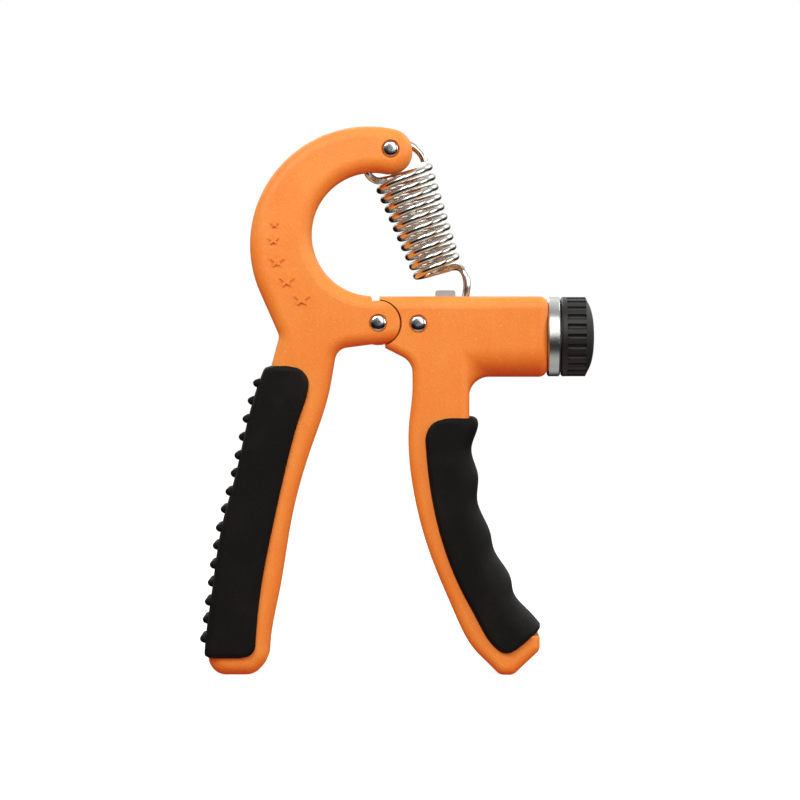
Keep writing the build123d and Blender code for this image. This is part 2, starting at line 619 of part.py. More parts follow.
body_seat = BODY_WIDTH / 2 - RIVET_RECESS
pivot_rivet = rivet("pivot_rivet", (0, 0), body_seat)
pivot_rivet_cap = rivet_cap("pivot_rivet_cap", (0, 0), body_seat)
anchor_rivet = rivet("anchor_rivet", ANCHOR, body_seat)
anchor_rivet_cap = rivet_cap("anchor_rivet_cap", ANCHOR, body_seat)
spring_rivet = rivet("spring_rivet", SPRING_PIN, TIP_SEAT)
spring_rivet_cap = rivet_cap("spring_rivet_cap", SPRING_PIN, TIP_SEAT)

# ---------------------------------------------------------------- load adjuster
arm_outer_y = CAVITY_WIDTH / 2 - FRAME_CLEARANCE
arm_inner_y = arm_outer_y - SHEET
sole = CAVITY_BOTTOM + FRAME_CLEARANCE
bearing_start = CAVITY_START + FRAME_CLEARANCE

with BuildPart() as screw_frame:
    with BuildSketch(front()):
        with BuildLine():
            Polyline((EAR_POCKET_START + FRAME_CLEARANCE, -EAR_POCKET_HALF + FRAME_CLEARANCE),
                     (bearing_start, -EAR_POCKET_HALF + FRAME_CLEARANCE), (bearing_start, sole),
                     (FRAME_END, sole), (FRAME_END, FRAME_TOP),
                     (EAR_POCKET_START + FRAME_CLEARANCE, FRAME_TOP), close=True)
        make_face()
        with Locations(ANCHOR):
            Circle(RIVET_D / 2, mode=Mode.SUBTRACT)
    extrude(amount=arm_outer_y, both=True)
    with BuildSketch(level(sole + SHEET)):
        with Locations(((bearing_start + FRAME_END) / 2 + SHEET, 0)):
            Rectangle(FRAME_END - bearing_start, 2 * arm_inner_y)
        with Locations(((EAR_POCKET_START + bearing_start) / 2, 0)):
            Rectangle(bearing_start - EAR_POCKET_START, 2 * arm_inner_y)
    extrude(amount=BARREL_HEIGHT, mode=Mode.SUBTRACT)
    with BuildSketch(level(AXIS_Z + JOURNAL_D)):
        with Locations((bearing_start + SHEET / 2, 0)):
            Rectangle(SHEET, 2 * arm_inner_y)
    extrude(amount=BARREL_HEIGHT, mode=Mode.SUBTRACT)
    with BuildSketch(across(bearing_start)):
        Circle(JOURNAL_D / 2 + FIT)
    extrude(amount=SHEET, mode=Mode.SUBTRACT)
save(screw_frame, "screw_frame")

clip_end = BARREL_END - MOUTH_DEPTH - FRAME_CLEARANCE
clip_start = clip_end - CLIP_THICKNESS
thread_start = bearing_start + SHEET + FIT
thread_turns = int((clip_start - CLIP_THICKNESS - thread_start) / SCREW_LEAD)
crest, root = SCREW_D / 2, SCREW_ROOT_D / 2
flutes = []
for turn in range(thread_turns):
    at = thread_start + (turn + 0.5) * SCREW_LEAD
    flutes += [(at - SCREW_LEAD * THREAD_FLANK, crest), (at, root), (at + SCREW_LEAD * THREAD_FLANK, crest)]

screw_end = KNOB_START + KNOB_SOCKET

with BuildPart() as adjusting_screw:
    with BuildSketch(lengthways()):
        with BuildLine():
            Polyline((bearing_start, 0), (bearing_start, JOURNAL_D / 2), (thread_start, JOURNAL_D / 2),
                     (thread_start, crest), flutes, (clip_start, crest), (clip_start, root), (clip_end, root),
                     (clip_end, crest), (screw_end, crest), (screw_end, 0), close=True)
        make_face()
    revolve(axis=Axis((0, 0, HANDLE_LENGTH + AXIS_Z), (1, 0, 0)))
save(adjusting_screw, "adjusting_screw")

with BuildPart() as retaining_clip:
    with BuildSketch(across(clip_start)):
        Circle(CLIP_D / 2)
        Circle(root, mode=Mode.SUBTRACT)
        with Locations((0, -CLIP_D / 2)):
            Rectangle(CLIP_MOUTH, CLIP_D, mode=Mode.SUBTRACT)
    extrude(amount=CLIP_THICKNESS)
save(retaining_clip, "retaining_clip")

with BuildPart() as slider_nut:
    with BuildSketch(front()):
        with Locations((NUT_START + NUT_LENGTH / 2, (NUT_BOTTOM + NUT_TOP) / 2)):
            RectangleRounded(NUT_LENGTH, NUT_TOP - NUT_BOTTOM, NUT_FILLET)
    extrude(amount=NUT_WIDTH / 2, both=True)
    with BuildSketch(front()) as lug_face:
        with Locations((NUT_START + LUG_LENGTH / 2, LUG_TOP / 2)):
            Rectangle(LUG_LENGTH, LUG_TOP)
        fillet(lug_face.vertices().group_by(Axis.Y)[-1], NUT_FILLET)
    extrude(amount=LUG_WIDTH / 2, both=True)
    with BuildSketch(across(NUT_START)):
        Circle(SCREW_D / 2 + FIT)
    extrude(amount=NUT_LENGTH, mode=Mode.SUBTRACT)
    hook_floor = HOOK_PIN[1] - HOOK_PIN_D / 2 - WIRE_D - 2 * FIT
    with BuildSketch(level(hook_floor)):
        with Locations((NUT_START + LUG_LENGTH + NUT_LENGTH / 2, 0)):
            Rectangle(NUT_LENGTH, HOOK_SLOT_WIDTH)
    extrude(amount=NUT_TOP - hook_floor, mode=Mode.SUBTRACT)
    with BuildSketch(front()):
        with Locations(HOOK_PIN):
            Circle(HOOK_PIN_D / 2)
    extrude(amount=NUT_WIDTH, both=True, mode=Mode.SUBTRACT)
save(slider_nut, "slider_nut")

with BuildPart() as hook_pin:
    with BuildSketch(front()):
        with Locations(HOOK_PIN):
            Circle(HOOK_PIN_D / 2)
    extrude(amount=NUT_WIDTH / 2 - FIT, both=True)
save(hook_pin, "hook_pin")

with BuildPart() as end_collar:
    with BuildSketch(across(BARREL_END)):
        Circle(COLLAR_D / 2)
    extrude(amount=COLLAR_LENGTH)
    chamfer(end_collar.edges().filter_by(GeomType.CIRCLE), COLLAR_EDGE)
    with BuildSketch(across(BARREL_END)):
        Circle(MOUTH_D / 2)
    extrude(amount=FIT - MOUTH_DEPTH)
    with BuildSketch(across(BARREL_END - MOUTH_DEPTH)):
        Circle(SCREW_D / 2 + FIT)
    extrude(amount=MOUTH_DEPTH + COLLAR_LENGTH, mode=Mode.SUBTRACT)
save(end_collar, "end_collar")

with BuildPart() as thrust_washer:
    with BuildSketch(across(COLLAR_END)):
        Circle(WASHER_D / 2)
        Circle(SCREW_D / 2, mode=Mode.SUBTRACT)
    extrude(amount=WASHER_THICKNESS)
save(thrust_washer, "thrust_washer")

with BuildPart() as knob:
    flank = KNOB_START + KNOB_FLANK
    knob_rim = (flank + KNOB_CHAMFER / 2, KNOB_D / 2 - KNOB_CHAMFER)
    with BuildSketch(lengthways()):
        with BuildLine():
            Polyline((KNOB_END, 0), (KNOB_START, 0), (KNOB_START, KNOB_D / 2 - COLLAR_EDGE),
                     (KNOB_START + COLLAR_EDGE, KNOB_D / 2), (flank, KNOB_D / 2), knob_rim)
            Spline(knob_rim, (KNOB_END, 0), tangents=[(0.6, -1), (0, -1)])
        make_face()
    revolve(axis=Axis((0, 0, HANDLE_LENGTH + AXIS_Z), (1, 0, 0)))
    with BuildSketch(across(KNOB_START + KNOB_FLUTE_START)):
        with PolarLocations(KNOB_D / 2, KNOB_FLUTES):
            Circle(KNOB_FLUTE_D / 2)
    extrude(amount=KNOB_FLUTE_LENGTH, mode=Mode.SUBTRACT)
    with BuildSketch(across(KNOB_START)):
        Circle(SCREW_D / 2)
    extrude(amount=KNOB_SOCKET, mode=Mode.SUBTRACT)
    with BuildSketch(across(KNOB_START)):
        Circle(WASHER_D / 2)
    extrude(amount=WASHER_THICKNESS - KNOB_GAP, mode=Mode.SUBTRACT)
save(knob, "knob")

# ---------------------------------------------------------------- spring
coil_run = Vector(COIL_BOTTOM[0] - COIL_TOP[0], 0, COIL_BOTTOM[1] - COIL_TOP[1])
coil_down = coil_run.normalized()
coil_left = Vector(coil_down.Z, 0, -coil_down.X)
coil_pitch = coil_run.length / (COILS - 1)
coil_turns = COILS + TAIL_TURN - COIL_START / 360
coil_radius = (COIL_TOP_D - WIRE_D) / 2
coil_slope = degrees(atan2((COIL_TOP_D - COIL_BOTTOM_D) / 2, coil_run.length))
wire_bend = HOOK_PIN_D / 2 + WIRE_D / 2 + FIT
loop_top = SPRING_PIN[1] + RIVET_D / 2 + WIRE_D / 2 + FIT


def spot(x, z, back=0.0):
    """A point of the wire: from the pivot sideways, upwards and towards the back."""
    return Vector(PIVOT_X + x, back, HANDLE_LENGTH + z)


def sweep_wire(name, path):
    """Sweep the round wire along a path, label it and write it."""
    with BuildPart() as piece:
        with BuildSketch(Plane(origin=path @ 0, z_dir=path % 0)):
            Circle(WIRE_D / 2)
        sweep(path=path, is_frenet=True)
    save(piece, name)
    return piece


coil_origin = spot(*COIL_TOP) - coil_down * coil_pitch * (HEAD_TURN - COIL_START / 360)
coil_side = coil_left * cos(COIL_START * pi / 180) + Vector(0, 1, 0) * sin(COIL_START * pi / 180)
coil_plane = Plane(origin=coil_origin, x_dir=coil_side, z_dir=coil_down)
with BuildLine() as coil_path:
    Helix(coil_pitch, coil_pitch * coil_turns, coil_radius, cone_angle=-coil_slope)
coil_wire = coil_plane.from_local_coords(coil_path.wires()[0].edge())
spring_coils = sweep_wire("spring_coils", coil_wire)

with BuildLine() as loop_path:
    rise = Spline(coil_wire @ 0, [spot(*point) for point in LOOP_RISE], spot(SPRING_PIN[0], loop_top),
                  tangents=[coil_wire % 0 * -1, (1, 0, 0)], tangent_scalars=[1, 1])
    crest = TangentArc(rise @ 1, spot(*LOOP_SHOULDER), tangent=(1, 0, 0))
    TangentArc(crest @ 1, spot(*LOOP_TIP), tangent=crest % 1)
spring_loop = sweep_wire("spring_loop", loop_path.wires()[0])

with BuildLine() as tail_path:
    hook_start = spot(HOOK_PIN[0] - wire_bend, HOOK_PIN[1])
    hook_end = spot(HOOK_PIN[0] + wire_bend, HOOK_PIN[1])
    Spline(coil_wire @ 1, [spot(*point) for point in TAIL], hook_start,
           tangents=[coil_wire % 1, (0, 0, -1)], tangent_scalars=[1, 1])
    ThreePointArc(hook_start, spot(HOOK_PIN[0], HOOK_PIN[1] - wire_bend), hook_end)
spring_hook = sweep_wire("spring_hook", tail_path.wires()[0])
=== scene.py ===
"""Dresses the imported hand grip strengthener: rubber sleeves, spring wire, load print, finishes and studio."""

import json
import math

import bmesh
import bpy
import numpy as np
from bpy.props import FloatProperty, FloatVectorProperty, IntProperty, PointerProperty
from mathutils import Matrix, Vector

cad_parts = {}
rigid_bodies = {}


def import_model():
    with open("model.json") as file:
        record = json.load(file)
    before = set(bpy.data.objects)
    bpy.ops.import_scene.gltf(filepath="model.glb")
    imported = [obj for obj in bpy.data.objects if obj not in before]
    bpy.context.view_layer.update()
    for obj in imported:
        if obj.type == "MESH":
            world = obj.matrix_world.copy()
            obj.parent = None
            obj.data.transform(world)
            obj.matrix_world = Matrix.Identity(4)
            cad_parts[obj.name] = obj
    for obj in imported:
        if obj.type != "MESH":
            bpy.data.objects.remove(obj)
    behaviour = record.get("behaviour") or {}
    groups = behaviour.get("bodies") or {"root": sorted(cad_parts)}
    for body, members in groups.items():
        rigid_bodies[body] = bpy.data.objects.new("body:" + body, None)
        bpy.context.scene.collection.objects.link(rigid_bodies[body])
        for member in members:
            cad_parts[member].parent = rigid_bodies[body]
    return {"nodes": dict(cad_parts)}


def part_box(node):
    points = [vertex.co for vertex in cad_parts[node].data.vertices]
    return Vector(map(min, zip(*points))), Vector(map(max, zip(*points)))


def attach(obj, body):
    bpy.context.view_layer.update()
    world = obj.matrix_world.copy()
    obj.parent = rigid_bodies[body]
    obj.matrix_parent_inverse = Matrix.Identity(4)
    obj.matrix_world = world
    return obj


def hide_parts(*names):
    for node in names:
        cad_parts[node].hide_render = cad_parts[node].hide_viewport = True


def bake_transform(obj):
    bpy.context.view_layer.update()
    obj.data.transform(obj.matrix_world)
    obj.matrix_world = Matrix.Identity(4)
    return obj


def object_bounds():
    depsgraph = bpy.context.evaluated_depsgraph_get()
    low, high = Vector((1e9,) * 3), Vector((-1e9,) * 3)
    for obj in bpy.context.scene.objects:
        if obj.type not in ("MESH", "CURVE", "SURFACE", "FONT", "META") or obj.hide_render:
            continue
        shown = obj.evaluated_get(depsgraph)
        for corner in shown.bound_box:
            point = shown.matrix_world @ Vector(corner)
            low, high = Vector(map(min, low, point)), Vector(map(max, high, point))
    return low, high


bl_info = {
    "name": "Hand grip strengthener",
    "version": (1, 0, 0),
    "blender": (4, 5, 0),
    "location": "3D View > Sidebar > Grip",
    "description": "Dresses the packed hand grip strengthener with rubber, wire, load print and finishes",
    "category": "Object",
}

for leftover in list(bpy.data.objects):
    bpy.data.objects.remove(leftover, do_unlink=True)
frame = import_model()
CAD_BOX = [list(corner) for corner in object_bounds()]

MM = 0.001
PIVOT = (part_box("hinge_bushing")[0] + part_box("hinge_bushing")[1]) / 2
KNOB_LOW, KNOB_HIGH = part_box("knob")
AXIS_Z = (KNOB_LOW.z + KNOB_HIGH.z) / 2
BODY_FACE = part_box("movable_handle")[1].y
RUBBER_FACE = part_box("fixed_grip")[1].y

# Outlines in millimetres from the pivot, (x, z), close to those in the part's source;
# the rounding of each sleeve's top and bottom corners, how deep a sleeve sits in its handle, how far it
# is tucked under the handle's face, and where the nubs start, end and lean
FIXED_OUTER = [(-31.6, -13.5), (-35.4, -25.3), (-39.5, -43.2), (-42.7, -54.8), (-45.7, -73.9), (-47.7, -90.3)]
FIXED_PALM = [(-19.2, -18.4), (-21.1, -24.7), (-24.4, -36.0), (-28.8, -55.4), (-32.2, -73.2), (-33.8, -90.1)]
FIXED_TOP = (-30.9, -11.8)
FIXED_PALM_TOP = (-19.3, -11.8)
FIXED_END = (-47.8, -92.2)
FIXED_PALM_END = (-33.9, -92.2)
FINGER_OUTER = [(26.3, -25.6), (27.0, -26.6), (25.5, -34.5), (27.3, -42.2), (27.1, -49.0), (30.8, -58.5),
                (31.6, -62.4), (36.5, -71.2), (37.1, -74.5), (41.3, -79.8), (45.1, -84.1)]
FINGER_PALM = [(12.6, -26.8), (13.0, -33.4), (14.5, -46.9), (17.4, -59.6), (22.4, -72.7), (27.1, -81.6),
               (32.4, -89.5), (35.8, -91.7)]
FIXED_CORNERS = (5.0, 3.5)
FINGER_CORNERS = (5.5, 2.6)
SEAT = 4.2
TUCKED = 0.08
NUB_TOP, NUB_FOOT = -16.6, -86.9
NUB_LEAN = math.radians(11)

# The spring's line, (x, z) in millimetres from the pivot, and the coil's turns beyond it
SPRING_TOP = (7.2, 39.9)
SPRING_BOTTOM = (16.0, 15.7)
TURNS_OVER = 0.35
TURNS_ABOVE = 0.75

# The load scale in millimetres: text, x, z and height; the bars' first place, run, foot and how much they
# close up; then in metres the width and height of the first and last bar, and the ink's thickness
LOAD_WORDS = [("40", 40.2, 2.7, 3.3), ("kg", 40.6, -1.0, 2.0),
              ("10", 17.3, 0.1, 2.8), ("kg", 17.6, -3.4, 2.0)]
BARS_FROM, BARS_RUN, BARS_FOOT = 36.0, 15.0, -0.4
BARS_CLOSING = 0.28
TALL_BAR = (2.4 * MM, 4.5 * MM)
SHORT_BAR = (0.7 * MM, 1.8 * MM)
INK = 0.00002


def at(x, z, y=0.0):
    """A place in metres from millimetres beside, above and behind the pivot."""
    return PIVOT + Vector((x, y, z)) * MM


# ---------------------------------------------------------------- sizes and colours
class RubberSizes(bpy.types.PropertyGroup):
    """Sizes of the two rubber sleeves."""

    lip: FloatProperty(name="Lip radius", description="Rounding where the rubber meets the plastic",
                       default=1.3 * MM, unit="LENGTH")
    back_edge: FloatProperty(name="Back edge radius", description="Rounding along the fixed sleeve's back",
                             default=2.2 * MM, unit="LENGTH")
    finger_edge: FloatProperty(name="Finger edge share",
                               description="Share of the finger sleeve's width that is rounded",
                               default=0.46, subtype="FACTOR", min=0.1, max=0.9)
    crown: FloatProperty(name="Crown", description="How far the back swells in its middle",
                         default=0.35 * MM, unit="LENGTH")
    nub_rows: IntProperty(name="Nub rows", description="Rows of nubs down the fixed sleeve's back",
                          default=15)
    nub_across: IntProperty(name="Nubs across", description="Nubs in each row", default=4)
    nub_spacing: FloatProperty(name="Nub spacing", description="Distance between nubs in a row",
                               default=5.2 * MM, unit="LENGTH")
    nub_radius: FloatProperty(name="Nub radius", description="Half a nub's width",
                              default=1.15 * MM, unit="LENGTH")
    nub_height: FloatProperty(name="Nub height", description="How far a nub stands out",
                              default=1.40 * MM, unit="LENGTH")


class SpringSizes(bpy.types.PropertyGroup):
    """Sizes of the tension spring's coils."""

    wire: FloatProperty(name="Wire", description="Diameter of the wire", default=2.0 * MM, unit="LENGTH")
    top: FloatProperty(name="Top coil", description="Outer diameter of the top coil",
                       default=17.2 * MM, unit="LENGTH")
    bottom: FloatProperty(name="Bottom coil", description="Outer diameter of the bottom coil",
                          default=14.3 * MM, unit="LENGTH")
    coils: IntProperty(name="Coils", description="Coils from the loop to the hook", default=10)
    start: FloatProperty(name="Start", description="Where the first coil begins",
                         default=math.radians(30), unit="ROTATION")
    split: FloatProperty(name="Split", description="Share of the coils that stretches with the handles",
                         default=0.6, subtype="FACTOR", min=0.1, max=0.9)


class Colours(bpy.types.PropertyGroup):
    """Colours of the plastics, rubber and print."""

    orange: FloatVectorProperty(name="Orange plastic", description="Moulded body", subtype="COLOR",
                                default=(0.80, 0.310, 0.045), min=0, max=1)
    orange_deep: FloatVectorProperty(name="Deep orange", description="Thicker colour in the moulded texture",
                                     subtype="COLOR", default=(0.78, 0.245, 0.027), min=0, max=1)
    # Colour of the lighter specks: painted glints of the moulded texture, not a colour of the plastic itself
    orange_glint_paint: FloatVectorProperty(name="Sparks", description="Lighter specks of the moulded texture",
                                      subtype="COLOR", default=(0.92, 0.46, 0.15), min=0, max=1)
    rubber: FloatVectorProperty(name="Rubber", description="Soft sleeves", subtype="COLOR",
                                default=(0.0036, 0.0041, 0.0030), min=0, max=1)
    rubber_worn: FloatVectorProperty(name="Worn rubber", description="Rubber polished by the hand",
                                     subtype="COLOR", default=(0.010, 0.010, 0.008), min=0, max=1)
    knob: FloatVectorProperty(name="Knob", description="Hard black plastic", subtype="COLOR",
                              default=(0.010, 0.011, 0.010), min=0, max=1)
    print_ink: FloatVectorProperty(name="Print", description="Load scale", subtype="COLOR",
                                   default=(0.95, 0.70, 0.56), min=0, max=1)


class StudioSizes(bpy.types.PropertyGroup):
    """Camera and light of the studio."""

    lens: FloatProperty(name="Lens", description="Focal length in millimetres", default=195.0)
    distance: FloatProperty(name="Distance", description="Camera to object", default=1.2, unit="LENGTH")
    height: FloatProperty(name="Camera height", description="Above the object's middle",
                          default=0.023, unit="LENGTH")
    key: FloatProperty(name="Key light", description="Power of the soft light from above left", default=7.4)
    fill: FloatProperty(name="Front light", description="Power of the soft light from the front", default=5.9)
    side: FloatProperty(name="Side light", description="Power of the soft light from the right", default=3.2)
    above: FloatProperty(name="Air above", description="Brightness of the surroundings above", default=0.85)
    below: FloatVectorProperty(name="Air below", description="Warm light from below", subtype="COLOR",
                               default=(0.58, 0.075, 0.028), min=0, max=1)
    mirrored: FloatProperty(name="Mirrored floor", description="Brightness of the ground in bright metal",
                            default=0.55)
    shade: FloatProperty(name="Camera side", description="Share of the brightness on the camera's side",
                         default=0.3, subtype="FACTOR", min=0, max=1)
    floor: FloatVectorProperty(name="Floor", description="Plain pale floor", subtype="COLOR",
                               default=(0.34, 0.34, 0.34), min=0, max=1)
    floor_glow: FloatProperty(name="Floor glow",
                              description="Light that keeps the floor as pale as the background",
                              default=0.82)


# ---------------------------------------------------------------- shader maths
class Tap:
    """A shader socket that adds a Math node for each operation it is used in."""

    def __init__(self, finish, socket):
        self.finish = finish
        self.socket = socket

    def math(self, operation, *values):
        """A Math node fed with sockets and plain numbers."""
        return self.finish.node("ShaderNodeMath", {"operation": operation}, dict(enumerate(values)))

    def __add__(self, other):
        return self.math("ADD", self, other)

    def __radd__(self, other):
        return self.math("ADD", other, self)

    def __sub__(self, other):
        return self.math("SUBTRACT", self, other)

    def __rsub__(self, other):
        return self.math("SUBTRACT", other, self)

    def __mul__(self, other):
        return self.math("MULTIPLY", self, other)

    def __rmul__(self, other):
        return self.math("MULTIPLY", other, self)

    def __pow__(self, other):
        return self.math("POWER", self, other)


class Wiring:
    """A shader tree of a material or a world, filled through node().

    node() takes the node's type, its settings, its input values by name or number, and the output to use."""

    def __init__(self, holder):
        holder.use_nodes = True
        self.tree = holder.node_tree
        self.tree.nodes.clear()

    def node(self, kind, settings=None, values=None, out=0):
        made = self.tree.nodes.new(kind)
        for key, value in (settings or {}).items():
            setattr(made, key, value)
        for key, value in (values or {}).items():
            if isinstance(value, Tap):
                self.tree.links.new(value.socket, made.inputs[key])
            else:
                made.inputs[key].default_value = value
        return Tap(self, made.outputs[out])

    def split(self, place):
        """The three parts of a place or a direction."""
        made = self.tree.nodes.new("ShaderNodeSeparateXYZ")
        self.tree.links.new(place.socket, made.inputs[0])
        return [Tap(self, socket) for socket in made.outputs]

    def step(self, value, low, high):
        """0 below low, 1 above high, smooth between."""
        return self.node("ShaderNodeMapRange", {"interpolation_type": "SMOOTHSTEP"},
                         {"Value": value, "From Min": low, "From Max": high})

    def blend(self, share, first, second):
        """The first colour where share is 0, the second where it is 1."""
        made = self.tree.nodes.new("ShaderNodeMix")
        made.data_type = "RGBA"
        for key, value in ((0, share), (6, first), (7, second)):
            if isinstance(value, Tap):
                self.tree.links.new(value.socket, made.inputs[key])
            else:
                made.inputs[key].default_value = (*value, 1) if key and len(value) == 3 else value
        return Tap(self, made.outputs[2])


class Finish(Wiring):
    """One procedural material on a Principled shader, with patterns on Object coordinates."""

    def __init__(self, name, **constants):
        self.material = bpy.data.materials.new(name)
        super().__init__(self.material)
        self.output = self.tree.nodes.new("ShaderNodeOutputMaterial")
        self.shader = self.tree.nodes.new("ShaderNodeBsdfPrincipled")
        self.tree.links.new(self.shader.outputs[0], self.output.inputs["Surface"])
        for key, value in constants.items():
            self.shader.inputs[key.replace("_", " ")].default_value = value
        self.place = self.node("ShaderNodeTexCoord", out="Object")

    def noise(self, scale, detail=2.0, rough=0.5, place=None):
        values = {"Vector": place or self.place, "Scale": scale, "Detail": detail, "Roughness": rough}
        return self.node("ShaderNodeTexNoise", {}, values)

    def cells(self, scale, out):
        """Voronoi cells, as their distance or their colour."""
        values = {"Vector": self.place, "Scale": scale}
        return self.node("ShaderNodeTexVoronoi", {"feature": "F1"}, values, out=out)

    def stretched(self, scale):
        values = {"Vector": self.place, "Scale": scale}
        return self.node("ShaderNodeMapping", {"vector_type": "POINT"}, values)

    def feed(self, key, tap):
        self.tree.links.new(tap.socket, self.shader.inputs[key])

    def bump(self, height, depth, strength):
        return self.node("ShaderNodeBump", {}, {"Height": height, "Distance": depth, "Strength": strength})


# ---------------------------------------------------------------- finishes
def orange_plastic(colours):
    """Satin moulded plastic with a fine spark-eroded texture, faint flow marks, and lighter specks painted into
    the colour as painted glints of the texture.
    """
    finish = Finish("orange_moulded_plastic", IOR=1.46)
    clouds = finish.noise(55.0, 3.0, 0.55)
    flow = finish.noise(1.0, 3.0, 0.6, finish.stretched((260.0, 90.0, 40.0)))
    grain = finish.noise(2400.0, 2.0, 0.6)
    pits = finish.cells(1500.0, "Distance")
    mix = finish.step(clouds * 0.45 + flow * 0.2 + grain * 0.35, 0.36, 0.66)
    tone = finish.blend(mix, tuple(colours.orange_deep), tuple(colours.orange))
    # Lighter specks painted into the base colour: painted glints of the spark-eroded texture
    painted_glints = finish.step(finish.noise(1700.0, 1.0, 0.5), 0.60, 0.76)
    finish.feed("Base Color", finish.blend(painted_glints * 0.35, tone, tuple(colours.orange_glint_paint)))
    finish.feed("Roughness", 0.40 + grain * 0.16 + clouds * 0.06)
    finish.feed("Normal", finish.bump(grain * 0.6 + pits * 0.4, 0.00012, 0.55))
    return finish.material


def rubber(colours):
    """Matt soft rubber: fine grain, dusty clouds and a little polish where the hand rubs."""
    finish = Finish("black_soft_rubber", IOR=1.5, Specular_IOR_Level=0.14)
    clouds = finish.noise(70.0, 4.0, 0.6)
    grain = finish.noise(2600.0, 2.0, 0.65)
    specks = finish.step(finish.noise(1500.0, 1.0, 0.5), 0.62, 0.78)
    wear = finish.step(clouds, 0.42, 0.72)
    tone = finish.blend(wear * 0.6 + specks * 0.3, tuple(colours.rubber), tuple(colours.rubber_worn))
    finish.feed("Base Color", tone)
    finish.feed("Roughness", 0.60 - wear * 0.10 + grain * 0.10)
    finish.feed("Normal", finish.bump(grain, 0.00014, 0.5))
    return finish.material


def knob_plastic(colours):
    """Hard black plastic with a fine satin grain and scuffs."""
    finish = Finish("black_knob_plastic", IOR=1.5, Specular_IOR_Level=0.4)
    clouds = finish.noise(120.0, 3.0, 0.6)
    grain = finish.noise(2800.0, 2.0, 0.6)
    scuffs = finish.step(finish.noise(1.0, 3.0, 0.7, finish.stretched((3200.0, 260.0, 260.0))), 0.60, 0.80)
    finish.feed("Base Color", finish.blend(scuffs * 0.5 + clouds * 0.3, tuple(colours.knob),
                                           tuple(2.2 * c for c in colours.knob)))
    finish.feed("Roughness", 0.36 + clouds * 0.10 + grain * 0.06)
    finish.feed("Normal", finish.bump(grain, 0.0001, 0.35))
    return finish.material


def bright_wire():
    """Nickel-plated spring wire: bright, with soft smudges."""
    finish = Finish("nickel_spring_wire", Metallic=1.0)
    smudge = finish.noise(90.0, 2.0, 0.5)
    finish.feed("Base Color", finish.blend(smudge, (0.66, 0.63, 0.57), (0.78, 0.75, 0.69)))
    finish.feed("Roughness", 0.17 + smudge * 0.08)
    return finish.material


def rivet_nickel():
    """Bright nickel plate on the formed rivet heads, with fine handling scratches."""
    finish = Finish("nickel_rivet_heads", Metallic=1.0)
    smudge = finish.noise(150.0, 2.0, 0.5)
    scratches = finish.step(finish.noise(1.0, 2.0, 0.7, finish.stretched((700.0, 700.0, 9000.0))), 0.58, 0.70)
    finish.feed("Base Color", finish.blend(smudge, (0.66, 0.66, 0.66), (0.74, 0.74, 0.74)))
    finish.feed("Roughness", 0.16 + smudge * 0.05 + scratches * 0.05)
    finish.feed("Normal", finish.bump(smudge, 0.00002, 0.15))
    return finish.material


def turned_steel():
    """Collar turned on a lathe: fine rings round the barrel's axis."""
    finish = Finish("turned_collar_steel", Metallic=1.0)
    along, across, up = finish.split(finish.place)
    rise = up - AXIS_Z
    radius = (across * across + rise * rise) ** 0.5
    rings_at = finish.node("ShaderNodeCombineXYZ", {}, {"X": along * 9000.0, "Y": radius * 9000.0})
    rings = finish.noise(1.0, 2.0, 0.6, rings_at)
    broad = finish.noise(0.12, 2.0, 0.6, rings_at)
    smudge = finish.noise(150.0, 3.0, 0.6)
    share = rings * 0.6 + smudge * 0.4
    finish.feed("Base Color", finish.blend(share, (0.58, 0.58, 0.57), (0.76, 0.76, 0.75)))
    finish.feed("Roughness", 0.20 + rings * 0.10 + smudge * 0.06)
    finish.feed("Normal", finish.bump(rings * 0.6 + broad * 0.4, 0.00004, 0.4))
    return finish.material


def zinc_plate():
    """Zinc-plated steel of the hidden frame and screw, slightly spangled and dulled."""
    finish = Finish("zinc_plated_steel", Metallic=1.0)
    tone = finish.node("ShaderNodeRGBToBW", {}, {0: finish.cells(700.0, "Color")})
    dull = finish.noise(200.0, 3.0, 0.6)
    finish.feed("Base Color", finish.blend(tone * 0.4 + dull * 0.6, (0.44, 0.45, 0.47), (0.66, 0.66, 0.64)))
    finish.feed("Roughness", 0.30 + dull * 0.16)
    finish.feed("Normal", finish.bump(dull, 0.00006, 0.3))
    return finish.material


def nylon():
    """Natural nylon of the washers: milky, faintly mottled."""
    finish = Finish("natural_nylon", IOR=1.53, Subsurface_Weight=0.15, Subsurface_Scale=0.001)
    mottle = finish.noise(260.0, 3.0, 0.6)
    grain = finish.noise(2600.0, 2.0, 0.6)
    finish.feed("Base Color", finish.blend(mottle, (0.66, 0.64, 0.58), (0.80, 0.79, 0.74)))
    finish.feed("Roughness", 0.36 + mottle * 0.14)
    finish.feed("Normal", finish.bump(grain, 0.00008, 0.3))
    return finish.material


def print_ink(colours):
    """Pad-printed ink, a little thin in places so that the plastic shows."""
    finish = Finish("load_print_ink", IOR=1.45)
    thin = finish.step(finish.noise(2400.0, 3.0, 0.7), 0.60, 0.74)
    ink = tuple(colours.print_ink)
    finish.feed("Base Color", finish.blend(thin * 0.5, ink, tuple(colours.orange)))
    finish.feed("Roughness", 0.45 + thin * 0.2)
    finish.feed("Normal", finish.bump(1.0 - thin, 0.00003, 0.4))
    return finish.material


def pale_floor(studio):
    """Plain pale matt floor with a barely visible tooth."""
    finish = Finish("pale_floor", Roughness=0.9, Emission_Strength=studio.floor_glow,
                    Emission_Color=(1, 1, 1, 1))
    tooth = finish.noise(300.0, 2.0, 0.5)
    colour = tuple(studio.floor)
    finish.feed("Base Color", finish.blend(tooth, tuple(0.985 * c for c in colour), colour))
    return finish.material


